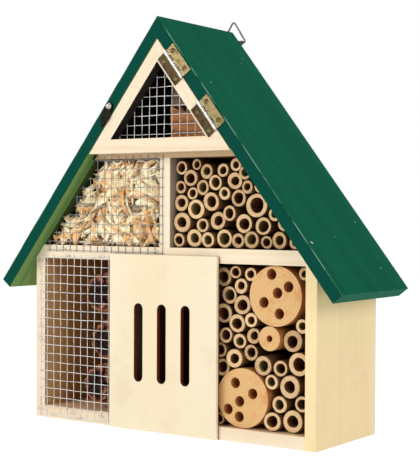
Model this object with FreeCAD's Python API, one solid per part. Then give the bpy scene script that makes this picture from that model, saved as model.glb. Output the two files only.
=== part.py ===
import FreeCAD, Part
import math
import os
from FreeCAD import Vector

# Insect hotel: a small pine house with a steep two-board roof, a hinged gable door and bays full of
# nesting material. Millimetres. X runs across the front, Y from front to back, Z up.
# The origin is the centre of the body's underside, so the walls, the floor and the front panel stand on Z = 0.

# ---------------------------------------------------------------- body and roof
body_width = 244.0
body_depth = 83.5
wall_height = 120.5
wall_thickness = 8.5
floor_thickness = 9.0
shelf_thickness = 10.0
upper_bay_height = 63.0
divider_thickness = 8.8
lower_divider_thickness = 8.5
chamber_width = 60.4           # clear width of the butterfly chamber between the lower dividers
middle_line = -1.0             # the dividers and the front panel are centred on this X
back_panel_thickness = 3.0
roof_pitch = 52.0              # degrees from the horizontal
roof_thickness = 9.0
roof_eave_overhang = 28.5      # along the slope, past the outer face of the wall
roof_front_overhang = 11.0

# ---------------------------------------------------------------- slotted front panel
panel_width = 93.4
panel_lap = 4.7                # of the panel's top on the middle shelf
panel_thickness = 3.5
slot_width = 7.8
slot_length = 56.0
slot_pitch = 20.5
slot_count = 3

# ---------------------------------------------------------------- gable door
rail_width = 9.5
base_rail_height = 9.8
rail_thickness = 8.5
door_gap = 0.8                 # between the door and the roof boards, square to the slope
door_bevel = 14.0              # degrees: the door's free edge leans in towards its back, to swing clear of the roof
door_reveal = 3.6              # strip of upper shelf left showing under the door

# ---------------------------------------------------------------- butt hinges
hinge_length = 24.0
hinge_from_apex = 25.0         # middle of the upper hinge, down the slope from the inner apex
hinge_from_base = 30.0         # middle of the lower hinge, up the slope from the door's bottom corner
leaf_reach = 8.4               # pin centre to the leaf's outer edge
leaf_thickness = 0.8
knuckle_radius = 1.5
knuckle_count = 5
knuckle_gap = 0.2
pin_radius = 0.7
running_clearance = 0.05
press_interference = 0.01
leaf_screw_pitch = 16.2
leaf_screw_offset = 5.0        # pin centre to the screw line
small_screw_radius = 0.9
small_head_radius = 1.9
small_head_height = 0.5
small_screw_length = 7.0

# ---------------------------------------------------------------- turn latch on the left roof edge
latch_drop = 46.0              # pivot, down the vertical from the inner apex
latch_lean = 26.0              # degrees the hanging latch stands outwards from the vertical
latch_length = 15.5            # pivot to the middle of the tip
latch_eye_radius = 2.9
latch_belly_radius = 3.8
latch_belly_drop = 7.8
latch_tip_radius = 0.8
latch_thickness = 1.2
washer_radius = 2.6
washer_thickness = 0.5
latch_screw_radius = 1.3
latch_head_radius = 2.5
latch_head_height = 1.9
latch_screw_length = 9.0

# ---------------------------------------------------------------- hanger
hanger_height = 8.0            # ring's pivot, below the ridge
ring_wire_radius = 0.7
ring_side_gap = 2.9            # strap's end to the ring's corner
ring_height = 16.6
ring_corner_radius = 1.0
ring_apex_radius = 1.6
strap_width = 16.0
strap_drop = 13.5
strap_panel_gap = 0.3
strap_thickness = 0.8
strap_screw_spread = 8.4
strap_screw_drop = 7.4

# ---------------------------------------------------------------- welded wire mesh and staples
mesh_pitch = 6.6
mesh_wire = 0.8
mesh_weld = 0.1                # how far the two layers of wire sink into each other
mesh_stub = 1.5                # cut end past the last crossing
mesh_roof_gap = 1.6            # from a cut end to the roof board
gable_mesh_margin = 3.2        # lap of the mesh on the back of the rails
shavings_mesh_rise = 6.1       # lowest wire, above the middle shelf's underside
cone_mesh_lap = 1.0            # top wire, above the middle shelf's underside
cone_mesh_end = 1.2            # cut ends of the upright wires, above the ground
staple_crown = 5.5
staple_wire = 0.6
staple_leg = 5.0
nail_radius = 0.6
nail_head_radius = 1.6
nail_head_height = 0.4
nail_length = 13.0

# ---------------------------------------------------------------- logs, dowel and canes
log_diameter = 40.5
log_length = 74.0
log_hole_diameter = 7.4
log_hole_depth = 55.0
log_setback = 3.0
lower_log_gap = 5.0            # clear space between the lower log and the right divider
upper_log_gap = 4.6            # clear space between the upper log and the right wall
upper_log_holes = ((14.8, 102), (12.0, 33), (2.7, 54), (10.0, 207), (12.0, 285))      # radius, degrees
lower_log_holes = ((11.5, 120), (9.0, 24), (3.3, 227), (14.3, 216), (13.1, 259))
dowel_diameter = 16.5
dowel_bore = 4.6
dowel_angle = 261              # degrees, from the middle of the upper log, which the dowel lies under
cane_length = 73.0
cane_setback = 5.0
cane_stagger = 0.7
cane_clearance = 0.4
bore_shares = (0.60, 0.52, 0.56, 0.62, 0.50, 0.58)
# Cane diameters in the order in which they are laid, from the bottom of each bay.
upper_cane_diameters = (
    10, 13, 11, 13, 10.5, 12, 9, 12, 9, 12.5, 14.5, 13.5, 10, 13, 10, 11, 9.5, 14, 17, 12, 13.5, 12,
    9.5, 9, 11, 9.5, 9.5, 11, 12, 12, 9.5, 11, 9.5, 10, 13.5, 12, 10, 9.5, 9, 9, 8.5, 8.5, 8)
lower_cane_diameters = (
    13, 15.5, 12, 11, 16, 10.5, 12.5, 14, 16, 11, 13.5, 11.5, 11, 15, 10.5, 11, 11, 13, 14, 10,
    13.5, 12.5, 11, 13.5, 14, 12, 12.5, 9, 10, 9.5, 9, 9, 8.5, 8.5)
upper_cane_groups = 7
lower_cane_groups = 5

# ---------------------------------------------------------------- loose fillings
longest_cone = 37.0            # the cones are picked to fit the bay, and are no larger than these
widest_cone = 33.0
cone_tiers = 8
cone_gap = 1.0
cone_tilts = (-5.0, 4.0, -3.0) # degrees, bottom to top
cone_shifts = (11.0, 4.0, 9.5) # away from the left divider, bottom to top
filling_clearance = 1.0
bark_height = 26.5
bark_length = 62.0
bark_setback = 6.5             # front of the bark, behind the body's front
bark_left = -2.0
bark_steps = ((0.58, 6.5), (0.40, 5.2), (0.27, 4.0), (0.16, 0.0))   # share of the width, drop below the top
offcut_height = 20.0

# ---------------------------------------------------------------- places that follow from the sizes
half_width = body_width / 2
front_y = -body_depth / 2
back_y = body_depth / 2
inside_back_y = back_y - back_panel_thickness
inside_x = half_width - wall_thickness
pitch = math.radians(roof_pitch)
slope = math.tan(pitch)
down_x = math.cos(pitch)
down_z = math.sin(pitch)
inner_apex_z = wall_height + half_width * slope
ridge_z = inner_apex_z + roof_thickness / down_x
roof_front_y = front_y - roof_front_overhang
panel_height = wall_height + panel_lap
middle_shelf_top = wall_height + shelf_thickness
upper_shelf_z = middle_shelf_top + upper_bay_height
upper_shelf_top = upper_shelf_z + shelf_thickness
door_apex_z = inner_apex_z - door_gap / down_x
door_inner_apex_z = door_apex_z - rail_width / down_x
door_base_z = upper_shelf_z + door_reveal
door_base_top = door_base_z + base_rail_height
door_back_y = roof_front_y + rail_thickness
mesh_depth = 2 * mesh_wire - mesh_weld
left_divider_x = middle_line - chamber_width / 2 - lower_divider_thickness
right_divider_x = middle_line + chamber_width / 2 + lower_divider_thickness
upper_divider_left = middle_line - divider_thickness / 2
upper_divider_right = middle_line + divider_thickness / 2
roof_slope_length = half_width / down_x + roof_eave_overhang + roof_thickness * slope   # outer face, ridge to eave


def roof_x(z, apex_z=None):
    """Distance from the middle plane to the roof's inner face (or a line parallel to it) at height z."""
    return ((inner_apex_z if apex_z is None else apex_z) - z) / slope


# ---------------------------------------------------------------- shape helpers
def box(x0, x1, y0, y1, z0, z1):
    return Part.makeBox(x1 - x0, y1 - y0, z1 - z0, Vector(x0, y0, z0))


def prism(outline, y0, y1):
    """Solid with the same (x, z) outline from y0 to y1."""
    corners = [Vector(x, y0, z) for x, z in outline]
    face = Part.Face(Part.makePolygon(corners + corners[:1]))
    return face.extrude(Vector(0, y1 - y0, 0))


def rod(x, z, radius, y0, y1):
    """Cylinder along Y."""
    return Part.makeCylinder(radius, y1 - y0, Vector(x, y0, z), Vector(0, 1, 0))


def fuse(solids):
    joined = solids[0].multiFuse(solids[1:]) if len(solids) > 1 else solids[0]
    return joined.removeSplitter()


def mirror_x(shape):
    return shape.mirror(Vector(0, 0, 0), Vector(1, 0, 0))


nodes = {}


def keep(name, *solids):
    nodes[name] = list(solids)


def cut_away(name, tools):
    """Cut holes for fasteners out of a node that is one solid."""
    nodes[name] = nodes[name][0].cut(Part.makeCompound(tools)).Solids


# ---------------------------------------------------------------- boards of the body and the roof
def make_body():
    wall = box(inside_x, half_width, front_y, inside_back_y, 0, wall_height)
    keep("right_wall", wall)
    keep("left_wall", mirror_x(wall))
    keep("floor_board", box(-inside_x, inside_x, front_y, inside_back_y, 0, floor_thickness))
    for name, low, high in (("middle_shelf", wall_height, middle_shelf_top),
                            ("upper_shelf", upper_shelf_z, upper_shelf_top)):
        outline = [(-roof_x(low), low), (roof_x(low), low), (roof_x(high), high), (-roof_x(high), high)]
        keep(name, prism(outline, front_y, inside_back_y))
    keep("upper_divider", box(upper_divider_left, upper_divider_right, front_y, inside_back_y,
                              middle_shelf_top, upper_shelf_z))
    keep("left_divider", box(left_divider_x, left_divider_x + lower_divider_thickness,
                             front_y, inside_back_y, floor_thickness, wall_height))
    keep("right_divider", box(right_divider_x - lower_divider_thickness, right_divider_x,
                              front_y, inside_back_y, floor_thickness, wall_height))
    # The back panel's tip is cut off under the hanger strap, so the back stays flat below it.
    tip_z = min(inner_apex_z - 1.0, ring_z - strap_drop - strap_panel_gap)
    keep("back_panel", prism([(-half_width, 0), (half_width, 0), (half_width, wall_height), (roof_x(tip_z), tip_z),
                              (-roof_x(tip_z), tip_z), (-half_width, wall_height)], inside_back_y, back_y))


def make_roof():
    eave_x = roof_slope_length * down_x
    eave_z = ridge_z - roof_slope_length * down_z
    board = prism([(0, ridge_z), (eave_x, eave_z),
                   (eave_x - roof_thickness * down_z, eave_z - roof_thickness * down_x),
                   (0, inner_apex_z)], roof_front_y, back_y)
    keep("right_roof_board", board)
    keep("left_roof_board", mirror_x(board))


def make_front_panel():
    half = panel_width / 2
    panel = box(middle_line - half, middle_line + half, front_y - panel_thickness, front_y, 0, panel_height)
    straight = (slot_length - slot_width) / 2
    middle_z = panel_height / 2
    for i in range(slot_count):
        x = middle_line + (i - (slot_count - 1) / 2) * slot_pitch
        y0, y1 = front_y - panel_thickness - 1, front_y + 1
        slot = fuse([box(x - slot_width / 2, x + slot_width / 2, y0, y1, middle_z - straight, middle_z + straight),
                     rod(x, middle_z - straight, slot_width / 2, y0, y1),
                     rod(x, middle_z + straight, slot_width / 2, y0, y1)])
        panel = panel.cut(slot)
    keep("front_panel", panel)


# ---------------------------------------------------------------- gable door
def make_door():
    def outer(z):
        return roof_x(z, door_apex_z)

    def inner(z):
        return roof_x(z, door_inner_apex_z)

    right = prism([(0, door_apex_z), (outer(door_base_top), door_base_top),
                   (inner(door_base_top), door_base_top), (0, door_inner_apex_z)], roof_front_y, door_back_y)
    keep("door_right_rail", right)
    keep("door_left_rail", mirror_x(right))
    keep("door_base_rail", prism([(-outer(door_base_z), door_base_z), (outer(door_base_z), door_base_z),
                                  (outer(door_base_top), door_base_top),
                                  (-outer(door_base_top), door_base_top)], roof_front_y, door_back_y))

    # The free edge: a long wedge beside the left slope, thickest at the door's back.
    start = Vector(0, roof_front_y, door_apex_z) + Vector(down_x, 0, down_z) * rail_width
    out, back = Vector(-down_z, 0, down_x), Vector(0, 1, 0)
    deep = rail_thickness + 1.0
    corners = [start, start - out * (deep * math.tan(math.radians(door_bevel))) + back * deep,
               start + out * rail_width + back * deep, start + out * rail_width]
    wedge = Part.Face(Part.makePolygon(corners + corners[:1])).extrude(
        Vector(-down_x, 0, -down_z) * (half_width / down_x + 2 * rail_width))
    for name in ("door_left_rail", "door_right_rail", "door_base_rail"):
        cut_away(name, [wedge])


# ---------------------------------------------------------------- hinges
# Each hinge is drawn flat: u runs down the slope, v outwards across it, w forwards from the roof's front.
hinge_down = Vector(down_x, 0, -down_z)
hinge_out = Vector(down_z, 0, down_x)
door_slope_length = (inner_apex_z - door_base_z) / down_z
upper_hinge_place = min(hinge_from_apex, door_slope_length * 0.26)
hinge_places = (upper_hinge_place, max(door_slope_length - hinge_from_base, upper_hinge_place + hinge_length + 3))
hinge_line = Vector(-door_gap / 2 * down_z, roof_front_y - knuckle_radius, inner_apex_z - door_gap / 2 * down_x)


def on_slope(shape, place):
    """Put a shape drawn in (u, v, w) on the slope, with its middle at the given distance from the apex."""
    origin = hinge_line + hinge_down * place
    turn = FreeCAD.Matrix(hinge_down.x, hinge_out.x, 0, origin.x,
                          0, 0, -1, origin.y,
                          hinge_down.z, hinge_out.z, 0, origin.z,
                          0, 0, 0, 1)
    return shape.transformGeometry(turn) if turn.determinant() < 0 else shape.transformed(turn)


def knuckles(own):
    """Start and end of each knuckle with the given parity."""
    step = hinge_length / knuckle_count
    return [(i * step - hinge_length / 2 + knuckle_gap / 2, (i + 1) * step - hinge_length / 2 - knuckle_gap / 2)
            for i in range(knuckle_count) if i % 2 == own]


def leaf(own, side, bore_radius):
    """One hinge leaf: a plate, and the knuckles that wrap the pin. side is +1 on the roof, -1 on the door."""
    clear = knuckle_radius + knuckle_gap
    low_w = -knuckle_radius

    def plate(u0, u1, v0, v1):
        near, far = min(side * v0, side * v1), max(side * v0, side * v1)
        return Part.makeBox(u1 - u0, far - near, leaf_thickness, Vector(u0, near, low_w))

    solids = [plate(-hinge_length / 2, hinge_length / 2, clear, leaf_reach)]
    bores = []
    for u0, u1 in knuckles(own):
        solids.append(plate(u0, u1, 0, clear + 0.5))
        solids.append(Part.makeCylinder(knuckle_radius, u1 - u0, Vector(u0, 0, 0), Vector(1, 0, 0)))
        bores.append(Part.makeCylinder(bore_radius, u1 - u0 + 2, Vector(u0 - 1, 0, 0), Vector(1, 0, 0)))
    body = fuse(solids).cut(Part.makeCompound(bores))
    for u in (-leaf_screw_pitch / 2, leaf_screw_pitch / 2):
        hole = Part.makeCylinder(small_screw_radius, 4, Vector(u, side * leaf_screw_offset, low_w - 1), Vector(0, 0, 1))
        body = body.cut(hole)
    return body


def small_screw(u, v):
    """Pan-head screw with a cross recess, square to the leaf."""
    top = leaf_thickness - knuckle_radius
    head = Part.makeCone(small_head_radius, small_head_radius * 0.6, small_head_height,
                         Vector(u, v, top), Vector(0, 0, 1))
    shank = Part.makeCylinder(small_screw_radius, small_screw_length, Vector(u, v, top), Vector(0, 0, -1))
    screw = fuse([head, shank])
    arm, half = small_head_radius * 0.55, 0.2
    for du, dv in ((arm, half), (half, arm)):
        screw = screw.cut(Part.makeBox(2 * du, 2 * dv, 1, Vector(u - du, v - dv, top + small_head_height * 0.4)))
    return screw


def make_hinges():
    roof_screws, door_screws = [], []
    for name, place in zip(("upper_hinge", "lower_hinge"), hinge_places):
        keep(name + "_roof_leaf", on_slope(leaf(0, 1, pin_radius - press_interference), place))
        keep(name + "_door_leaf", on_slope(leaf(1, -1, pin_radius + running_clearance), place))
        pin = Part.makeCylinder(pin_radius, hinge_length, Vector(-hinge_length / 2, 0, 0), Vector(1, 0, 0))
        keep(name + "_pin", on_slope(pin, place))
        for u in (-leaf_screw_pitch / 2, leaf_screw_pitch / 2):
            roof_screws.append(on_slope(small_screw(u, leaf_screw_offset), place))
            door_screws.append(on_slope(small_screw(u, -leaf_screw_offset), place))
    keep("roof_leaf_screws", *roof_screws)
    keep("door_leaf_screws", *door_screws)
    cut_away("right_roof_board", roof_screws)
    cut_away("door_right_rail", door_screws)
    cut_away("door_base_rail", door_screws)


# ---------------------------------------------------------------- turn latch
latch_z = inner_apex_z - latch_drop
latch_x = -(roof_x(latch_z) + roof_thickness / down_z / 2)


def make_latch():
    face = roof_front_y
    washer = rod(latch_x, latch_z, washer_radius, face - washer_thickness, face)
    plate_back = face - washer_thickness - running_clearance
    plate_front = plate_back - latch_thickness

    def disc(drop, radius):
        return rod(latch_x, latch_z - drop, radius, plate_front, plate_back)

    def waist(drop0, radius0, drop1, radius1):
        return prism([(latch_x - radius0, latch_z - drop0), (latch_x + radius0, latch_z - drop0),
                      (latch_x + radius1, latch_z - drop1), (latch_x - radius1, latch_z - drop1)],
                     plate_front, plate_back)

    plate = fuse([disc(0, latch_eye_radius), disc(latch_belly_drop, latch_belly_radius),
                  disc(latch_length, latch_tip_radius),
                  waist(0, latch_eye_radius, latch_belly_drop, latch_belly_radius),
                  waist(latch_belly_drop, latch_belly_radius, latch_length, latch_tip_radius)])
    plate.rotate(Vector(latch_x, 0, latch_z), Vector(0, 1, 0), latch_lean)
    bore = rod(latch_x, latch_z, latch_screw_radius + running_clearance, plate_front - 1, face + 1)
    keep("latch", plate.cut(bore))
    keep("latch_washer", washer.cut(bore))
    # Round-head screw: a dome of the given height on a plain shank, slotted across.
    sphere_radius = (latch_head_radius ** 2 + latch_head_height ** 2) / (2 * latch_head_height)
    under_head = plate_front - running_clearance
    ball = Part.makeSphere(sphere_radius, Vector(latch_x, under_head - latch_head_height + sphere_radius, latch_z))
    dome = ball.common(rod(latch_x, latch_z, latch_head_radius + 1, under_head - latch_head_height - 1, under_head))
    shank = rod(latch_x, latch_z, latch_screw_radius, under_head, under_head + latch_screw_length)
    slot = box(latch_x - latch_head_radius, latch_x + latch_head_radius, under_head - latch_head_height - 1,
               under_head - latch_head_height + 0.8, latch_z - 0.3, latch_z + 0.3)
    slot.rotate(Vector(latch_x, 0, latch_z), Vector(0, 1, 0), 35)
    keep("latch_screw", fuse([dome, shank]).cut(slot))
    cut_away("left_roof_board", nodes["latch_screw"])


# ---------------------------------------------------------------- hanger
ring_z = ridge_z - hanger_height
loop_radius = ring_wire_radius + running_clearance + strap_thickness
ring_y = back_y + loop_radius
ring_half_width = strap_width / 2 + ring_side_gap


def rounded_loop(corners, radii):
    """Closed wire through the corners, each rounded with a tangent arc."""
    count = len(corners)
    cuts = []
    for i in range(count):
        corner = corners[i]
        back = (corners[i - 1] - corner).normalize()
        ahead = (corners[(i + 1) % count] - corner).normalize()
        half_turn = back.getAngle(ahead) / 2
        reach = radii[i] / math.tan(half_turn)
        inward = (back + ahead).normalize()
        centre = corner + inward * (radii[i] / math.sin(half_turn))
        cuts.append((corner + back * reach, centre - inward * radii[i], corner + ahead * reach))
    edges = []
    for i in range(count):
        start, middle, end = cuts[i]
        edges.append(Part.Arc(start, middle, end).toShape())
        edges.append(Part.LineSegment(end, cuts[(i + 1) % count][0]).toShape())
    return Part.Wire(edges)


def make_hanger():
    corners = [Vector(-ring_half_width, ring_y, ring_z), Vector(ring_half_width, ring_y, ring_z),
               Vector(0, ring_y, ring_z + ring_height)]
    path = rounded_loop(corners, [ring_corner_radius, ring_corner_radius, ring_apex_radius])
    start = path.OrderedVertexes[0].Point
    along = path.OrderedEdges[0].tangentAt(path.OrderedEdges[0].FirstParameter)
    section = Part.Wire(Part.makeCircle(ring_wire_radius, start, along))
    ring = path.makePipeShell([section], True, False)
    keep("hanger_ring", ring)

    half = strap_width / 2
    loop = Part.makeCylinder(loop_radius, strap_width, Vector(-half, ring_y, ring_z), Vector(1, 0, 0))
    plate = box(-half, half, back_y, back_y + strap_thickness, ring_z - strap_drop, ring_z)
    bore = Part.makeCylinder(ring_wire_radius + running_clearance, strap_width + 2,
                             Vector(-half - 1, ring_y, ring_z), Vector(1, 0, 0))
    screws = []
    for side in (-1, 1):
        x, z = side * strap_screw_spread / 2, ring_z - strap_screw_drop
        head = Part.makeCone(small_head_radius, small_head_radius * 0.6, small_head_height,
                             Vector(x, back_y + strap_thickness, z), Vector(0, 1, 0))
        shank = rod(x, z, small_screw_radius, back_y + strap_thickness - small_screw_length, back_y + strap_thickness)
        screws.append(fuse([head, shank]))
    keep("hanger_strap", fuse([loop, plate]).cut(Part.makeCompound([bore] + screws)))
    keep("hanger_screws", *screws)
    for board in ("left_roof_board", "right_roof_board", "back_panel"):
        cut_away(board, screws)


# ---------------------------------------------------------------- wire mesh and staples
def wire_mesh(columns, rows, inside, wood_y, outward, low_end=None, high_end=None):
    """Welded mesh of square wire: upright wires against the wood, cross wires in front of them.

    outward is -1 where the mesh faces the front, +1 where it faces the back. A wire runs between its first
    and last crossing that lies inside, and a short cut end past each. An upright wire that crosses the lowest
    or the highest row ends at low_end or high_end where one is given.
    """
    half = mesh_wire / 2
    upright = sorted((wood_y, wood_y + outward * mesh_wire))
    across = sorted((wood_y + outward * (mesh_wire - mesh_weld), wood_y + outward * mesh_depth))
    bars = []
    for x in columns:
        hits = [z for z in rows if inside(x, z)]
        if hits:
            low, high = min(hits), max(hits)
            low = low_end if low_end is not None and low == min(rows) else low - mesh_stub
            high = high_end if high_end is not None and high == max(rows) else high + mesh_stub
            bars.append(box(x - half, x + half, *upright, low, high))
    for z in rows:
        hits = [x for x in columns if inside(x, z)]
        if hits:
            bars.append(box(min(hits) - mesh_stub, max(hits) + mesh_stub, *across, z - half, z + half))
    return bars[0].multiFuse(bars[1:])


def staple(x, z, wood_y, outward):
    """Wire staple across one upright wire: a crown in front of it and two legs in the wood."""
    crown = sorted((wood_y + outward * mesh_wire, wood_y + outward * (mesh_wire + staple_wire)))
    leg = sorted((wood_y + outward * (mesh_wire + staple_wire), wood_y - outward * staple_leg))
    half, thick = staple_crown / 2, staple_wire
    return fuse([box(x - half, x + half, *crown, z - thick / 2, z + thick / 2),
                 box(x - half, x - half + thick, *leg, z - thick / 2, z + thick / 2),
                 box(x + half - thick, x + half, *leg, z - thick / 2, z + thick / 2)])


def make_meshes():
    # Gable: the mesh laps the back of the three rails.
    rows_up = int((door_inner_apex_z - door_base_top) / mesh_pitch) + 2
    gable_low = door_base_top - mesh_pitch / 2
    rows = [gable_low + i * mesh_pitch for i in range(rows_up)]
    reach = int(roof_x(gable_low, door_inner_apex_z) / mesh_pitch) + 1
    columns = [i * mesh_pitch for i in range(-reach, reach + 1)]

    def in_gable(x, z):
        return abs(x) <= roof_x(z, door_inner_apex_z) + gable_mesh_margin

    keep("gable_mesh", wire_mesh(columns, rows, in_gable, door_back_y, 1))
    top_row = max(z for z in rows if in_gable(0, z))
    base_staple_z = (gable_low + door_base_top) / 2 + mesh_wire / 2
    places = [(i * mesh_pitch, base_staple_z) for i in (-4, 0, 4)] + [(0, top_row - mesh_wire)]
    staples = [staple(x, z, door_back_y, 1) for x, z in places]
    keep("gable_mesh_staples", *staples)
    for rail in ("door_base_rail", "door_left_rail", "door_right_rail"):
        cut_away(rail, staples)

    # Wood shavings: the mesh laps the middle shelf, the upper divider and the upper shelf.
    half = mesh_wire / 2
    low = wall_height + shavings_mesh_rise
    rows = [low + i * mesh_pitch for i in range(int((upper_shelf_z - low) / mesh_pitch) + 1)]
    columns = [middle_line - mesh_wire * 2 - i * mesh_pitch for i in range(int(half_width / mesh_pitch))]

    def in_shavings(x, z):
        return (-x + half + mesh_roof_gap <= roof_x(z + mesh_stub + half)
                and -x + mesh_stub + mesh_roof_gap <= roof_x(z + half))

    keep("shavings_mesh", wire_mesh(columns, rows, in_shavings, front_y, -1, low - 1.0, upper_shelf_z + 2.4))
    top = [x for x in columns if in_shavings(x, rows[-1])]
    bottom = [x for x in columns if in_shavings(x, rows[0])]
    staples = [staple(x, upper_shelf_z + 1.6, front_y, -1) for x in (top[1], top[-3])]
    shelf_staple_z = low + mesh_wire + staple_wire
    staples += [staple(x, shelf_staple_z, front_y, -1) for x in (bottom[1], bottom[len(bottom) // 2], bottom[-3])]

    # Pine cones: the mesh laps the left wall, the floor board and the middle shelf, and stops short of the panel.
    high = wall_height + cone_mesh_lap
    rows = [high - i * mesh_pitch for i in range(int((high - cone_mesh_end - mesh_stub) / mesh_pitch) + 1)]
    first = -half_width + wall_thickness / 2 + half
    room = middle_line - panel_width / 2 - mesh_stub - 0.3 - first
    columns = [first + i * mesh_pitch for i in range(int(room / mesh_pitch) + 1)]
    keep("cone_mesh", wire_mesh(columns, rows, lambda x, z: True, front_y, -1, cone_mesh_end, high + 2.0))

    def between_rows(z):
        """Middle of the row of meshes nearest to z."""
        return high - (round((high - z) / mesh_pitch - 0.5) + 0.5) * mesh_pitch

    floor_staple_z = between_rows(floor_thickness / 2)
    middle, last = len(columns) // 2, -2
    staples += [staple(columns[0], z, front_y, -1)
                for z in (between_rows(wall_height * 0.97), between_rows(wall_height / 2), floor_staple_z)]
    staples += [staple(columns[i], floor_staple_z, front_y, -1) for i in (middle, last)]
    staples += [staple(columns[i], high + half + staple_wire + 0.2, front_y, -1) for i in (middle - 1, last)]
    keep("mesh_staples", *staples)
    for board in ("left_wall", "floor_board", "middle_shelf", "upper_shelf"):
        cut_away(board, staples)


def make_back_nails():
    """Round wire nails that hold the back panel to the boards behind it."""
    places = []
    for side in (-1, 1):
        places += [(side * (half_width - wall_thickness / 2), wall_height * share) for share in (0.15, 0.5, 0.85)]
        places += [(side * inside_x * 0.5, floor_thickness / 2),
                   (side * half_width * 0.55, wall_height + shelf_thickness / 2),
                   (side * roof_x(upper_shelf_z) * 0.6, upper_shelf_z + shelf_thickness / 2)]
    nails = []
    for x, z in places:
        nails.append(fuse([rod(x, z, nail_head_radius, back_y - nail_head_height, back_y),
                           rod(x, z, nail_radius, back_y - nail_length, back_y)]))
    keep("back_panel_nails", *nails)
    for board in ("back_panel", "left_wall", "right_wall", "floor_board", "middle_shelf", "upper_shelf"):
        cut_away(board, nails)


# ---------------------------------------------------------------- canes, logs and dowel
def settle(radius, sides, laid):
    """Lowest place, then the furthest left, for a round of this radius.

    sides are the bay's boards as (nx, nz, offset): a centre is inside when nx*x + nz*z >= offset + radius.
    laid holds (x, z, radius) of everything that already lies in the bay. A place touches two of them, with
    cane_clearance between. Returns None when the bay is full.
    """
    gap = cane_clearance
    lines = [(nx, nz, offset + radius + gap) for nx, nz, offset in sides]
    rounds = [(x, z, r + radius + gap) for x, z, r in laid]
    spots = []
    for i, (ax, az, ac) in enumerate(lines):
        for bx, bz, bc in lines[i + 1:]:
            det = ax * bz - bx * az
            if abs(det) > 1e-6:
                spots.append(((ac * bz - bc * az) / det, (ax * bc - bx * ac) / det))
        for x, z, r in rounds:
            short = ac - ax * x - az * z
            if abs(short) <= r:
                half = math.sqrt(r * r - short * short)
                for s in (-half, half):
                    spots.append((x + ax * short - az * s, z + az * short + ax * s))
    for i, (x0, z0, r0) in enumerate(rounds):
        for x1, z1, r1 in rounds[i + 1:]:
            span = math.hypot(x1 - x0, z1 - z0)
            if 0 < span <= r0 + r1:
                along = (span * span + r0 * r0 - r1 * r1) / (2 * span)
                half = math.sqrt(max(0.0, r0 * r0 - along * along))
                ux, uz = (x1 - x0) / span, (z1 - z0) / span
                for s in (-half, half):
                    spots.append((x0 + ux * along - uz * s, z0 + uz * along + ux * s))
    free = [(round(z, 6), round(x, 6)) for x, z in spots
            if all(nx * x + nz * z >= c - 1e-6 for nx, nz, c in lines)
            and all(math.hypot(x - cx, z - cz) >= r - 1e-6 for cx, cz, r in rounds)]
    if not free:
        return None
    z, x = min(free)
    return x, z


def lay_canes(diameters, sides, laid):
    """Lay canes one after another until no cane of the list fits any more. Returns (x, z, diameter)."""
    canes = []
    for diameter in diameters:
        place = settle(diameter / 2, sides, laid)
        if place:
            laid.append((place[0], place[1], diameter / 2))
            canes.append((place[0], place[1], diameter))
    return canes


def cane(x, z, diameter, index):
    """A length of cane: a bore from the front, closed by a node, and a shorter bore behind the node."""
    y0 = front_y + cane_setback + ((index * 3) % 5 - 2) * cane_stagger
    bore = diameter * bore_shares[index % len(bore_shares)] / 2
    node_y = y0 + cane_length * (0.62 + 0.07 * (index % 4))
    body = rod(x, z, diameter / 2, y0, y0 + cane_length)
    body = body.cut(rod(x, z, bore, y0 - 1, node_y))
    return body.cut(rod(x, z, bore, node_y + 2, y0 + cane_length + 1))


def keep_canes(name, canes, groups):
    for g in range(groups):
        keep(f"{name}_{g + 1}", *[cane(*canes[i], i) for i in range(g, len(canes), groups)])


def log_places():
    radius = log_diameter / 2
    lower = (right_divider_x + lower_log_gap + radius, floor_thickness + cane_clearance + radius)
    upper = (inside_x - upper_log_gap - radius, wall_height - cane_clearance - radius)
    return lower, upper


def dowel_place(lower_log, upper_log):
    """Against the upper log at dowel_angle, or as little further to the right as clears the lower log."""
    reach = log_diameter / 2 + dowel_diameter / 2 + cane_clearance
    for angle in range(dowel_angle, 360):
        x = upper_log[0] + reach * math.cos(math.radians(angle))
        z = upper_log[1] + reach * math.sin(math.radians(angle))
        if math.hypot(x - lower_log[0], z - lower_log[1]) >= reach:
            return x, z
    raise ValueError("no room for the dowel under the upper log")


def drilled_log(place, holes):
    x, z = place
    y0 = front_y + log_setback
    body = rod(x, z, log_diameter / 2, y0, y0 + log_length)
    drills = [rod(x + r * math.cos(math.radians(a)), z + r * math.sin(math.radians(a)),
                  log_hole_diameter / 2, y0 - 1, y0 + log_hole_depth) for r, a in holes]
    return body.cut(Part.makeCompound(drills))


def make_nesting():
    lower_log, upper_log = log_places()
    keep("lower_log", drilled_log(lower_log, lower_log_holes))
    keep("upper_log", drilled_log(upper_log, upper_log_holes))
    dowel = dowel_place(lower_log, upper_log)
    y0 = front_y + log_setback
    keep("drilled_dowel", rod(*dowel, dowel_diameter / 2, y0, y0 + cane_length).cut(
        rod(*dowel, dowel_bore / 2, y0 - 1, y0 + log_hole_depth)))
    laid = [(*lower_log, log_diameter / 2), (*upper_log, log_diameter / 2), (*dowel, dowel_diameter / 2)]
    sides = [(1, 0, right_divider_x), (-1, 0, -inside_x), (0, 1, floor_thickness), (0, -1, -wall_height)]
    keep_canes("lower_canes", lay_canes(lower_cane_diameters, sides, laid), lower_cane_groups)
    # In the upper bay the roof board is the sloping side.
    sides = [(1, 0, upper_divider_right), (-down_z, -down_x, -inner_apex_z * down_x),
             (0, 1, middle_shelf_top), (0, -1, -upper_shelf_z)]
    keep_canes("upper_canes", lay_canes(upper_cane_diameters, sides, []), upper_cane_groups)


# ---------------------------------------------------------------- loose fillings
cone_bay_height = wall_height - floor_thickness
cone_levels = len(cone_tilts)
cone_radius = min(widest_cone, (cone_bay_height - filling_clearance * 2 + cone_gap) / cone_levels - cone_gap) / 2
cone_length = min(longest_cone, (inside_back_y - front_y) / 2 - 3.0)


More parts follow.
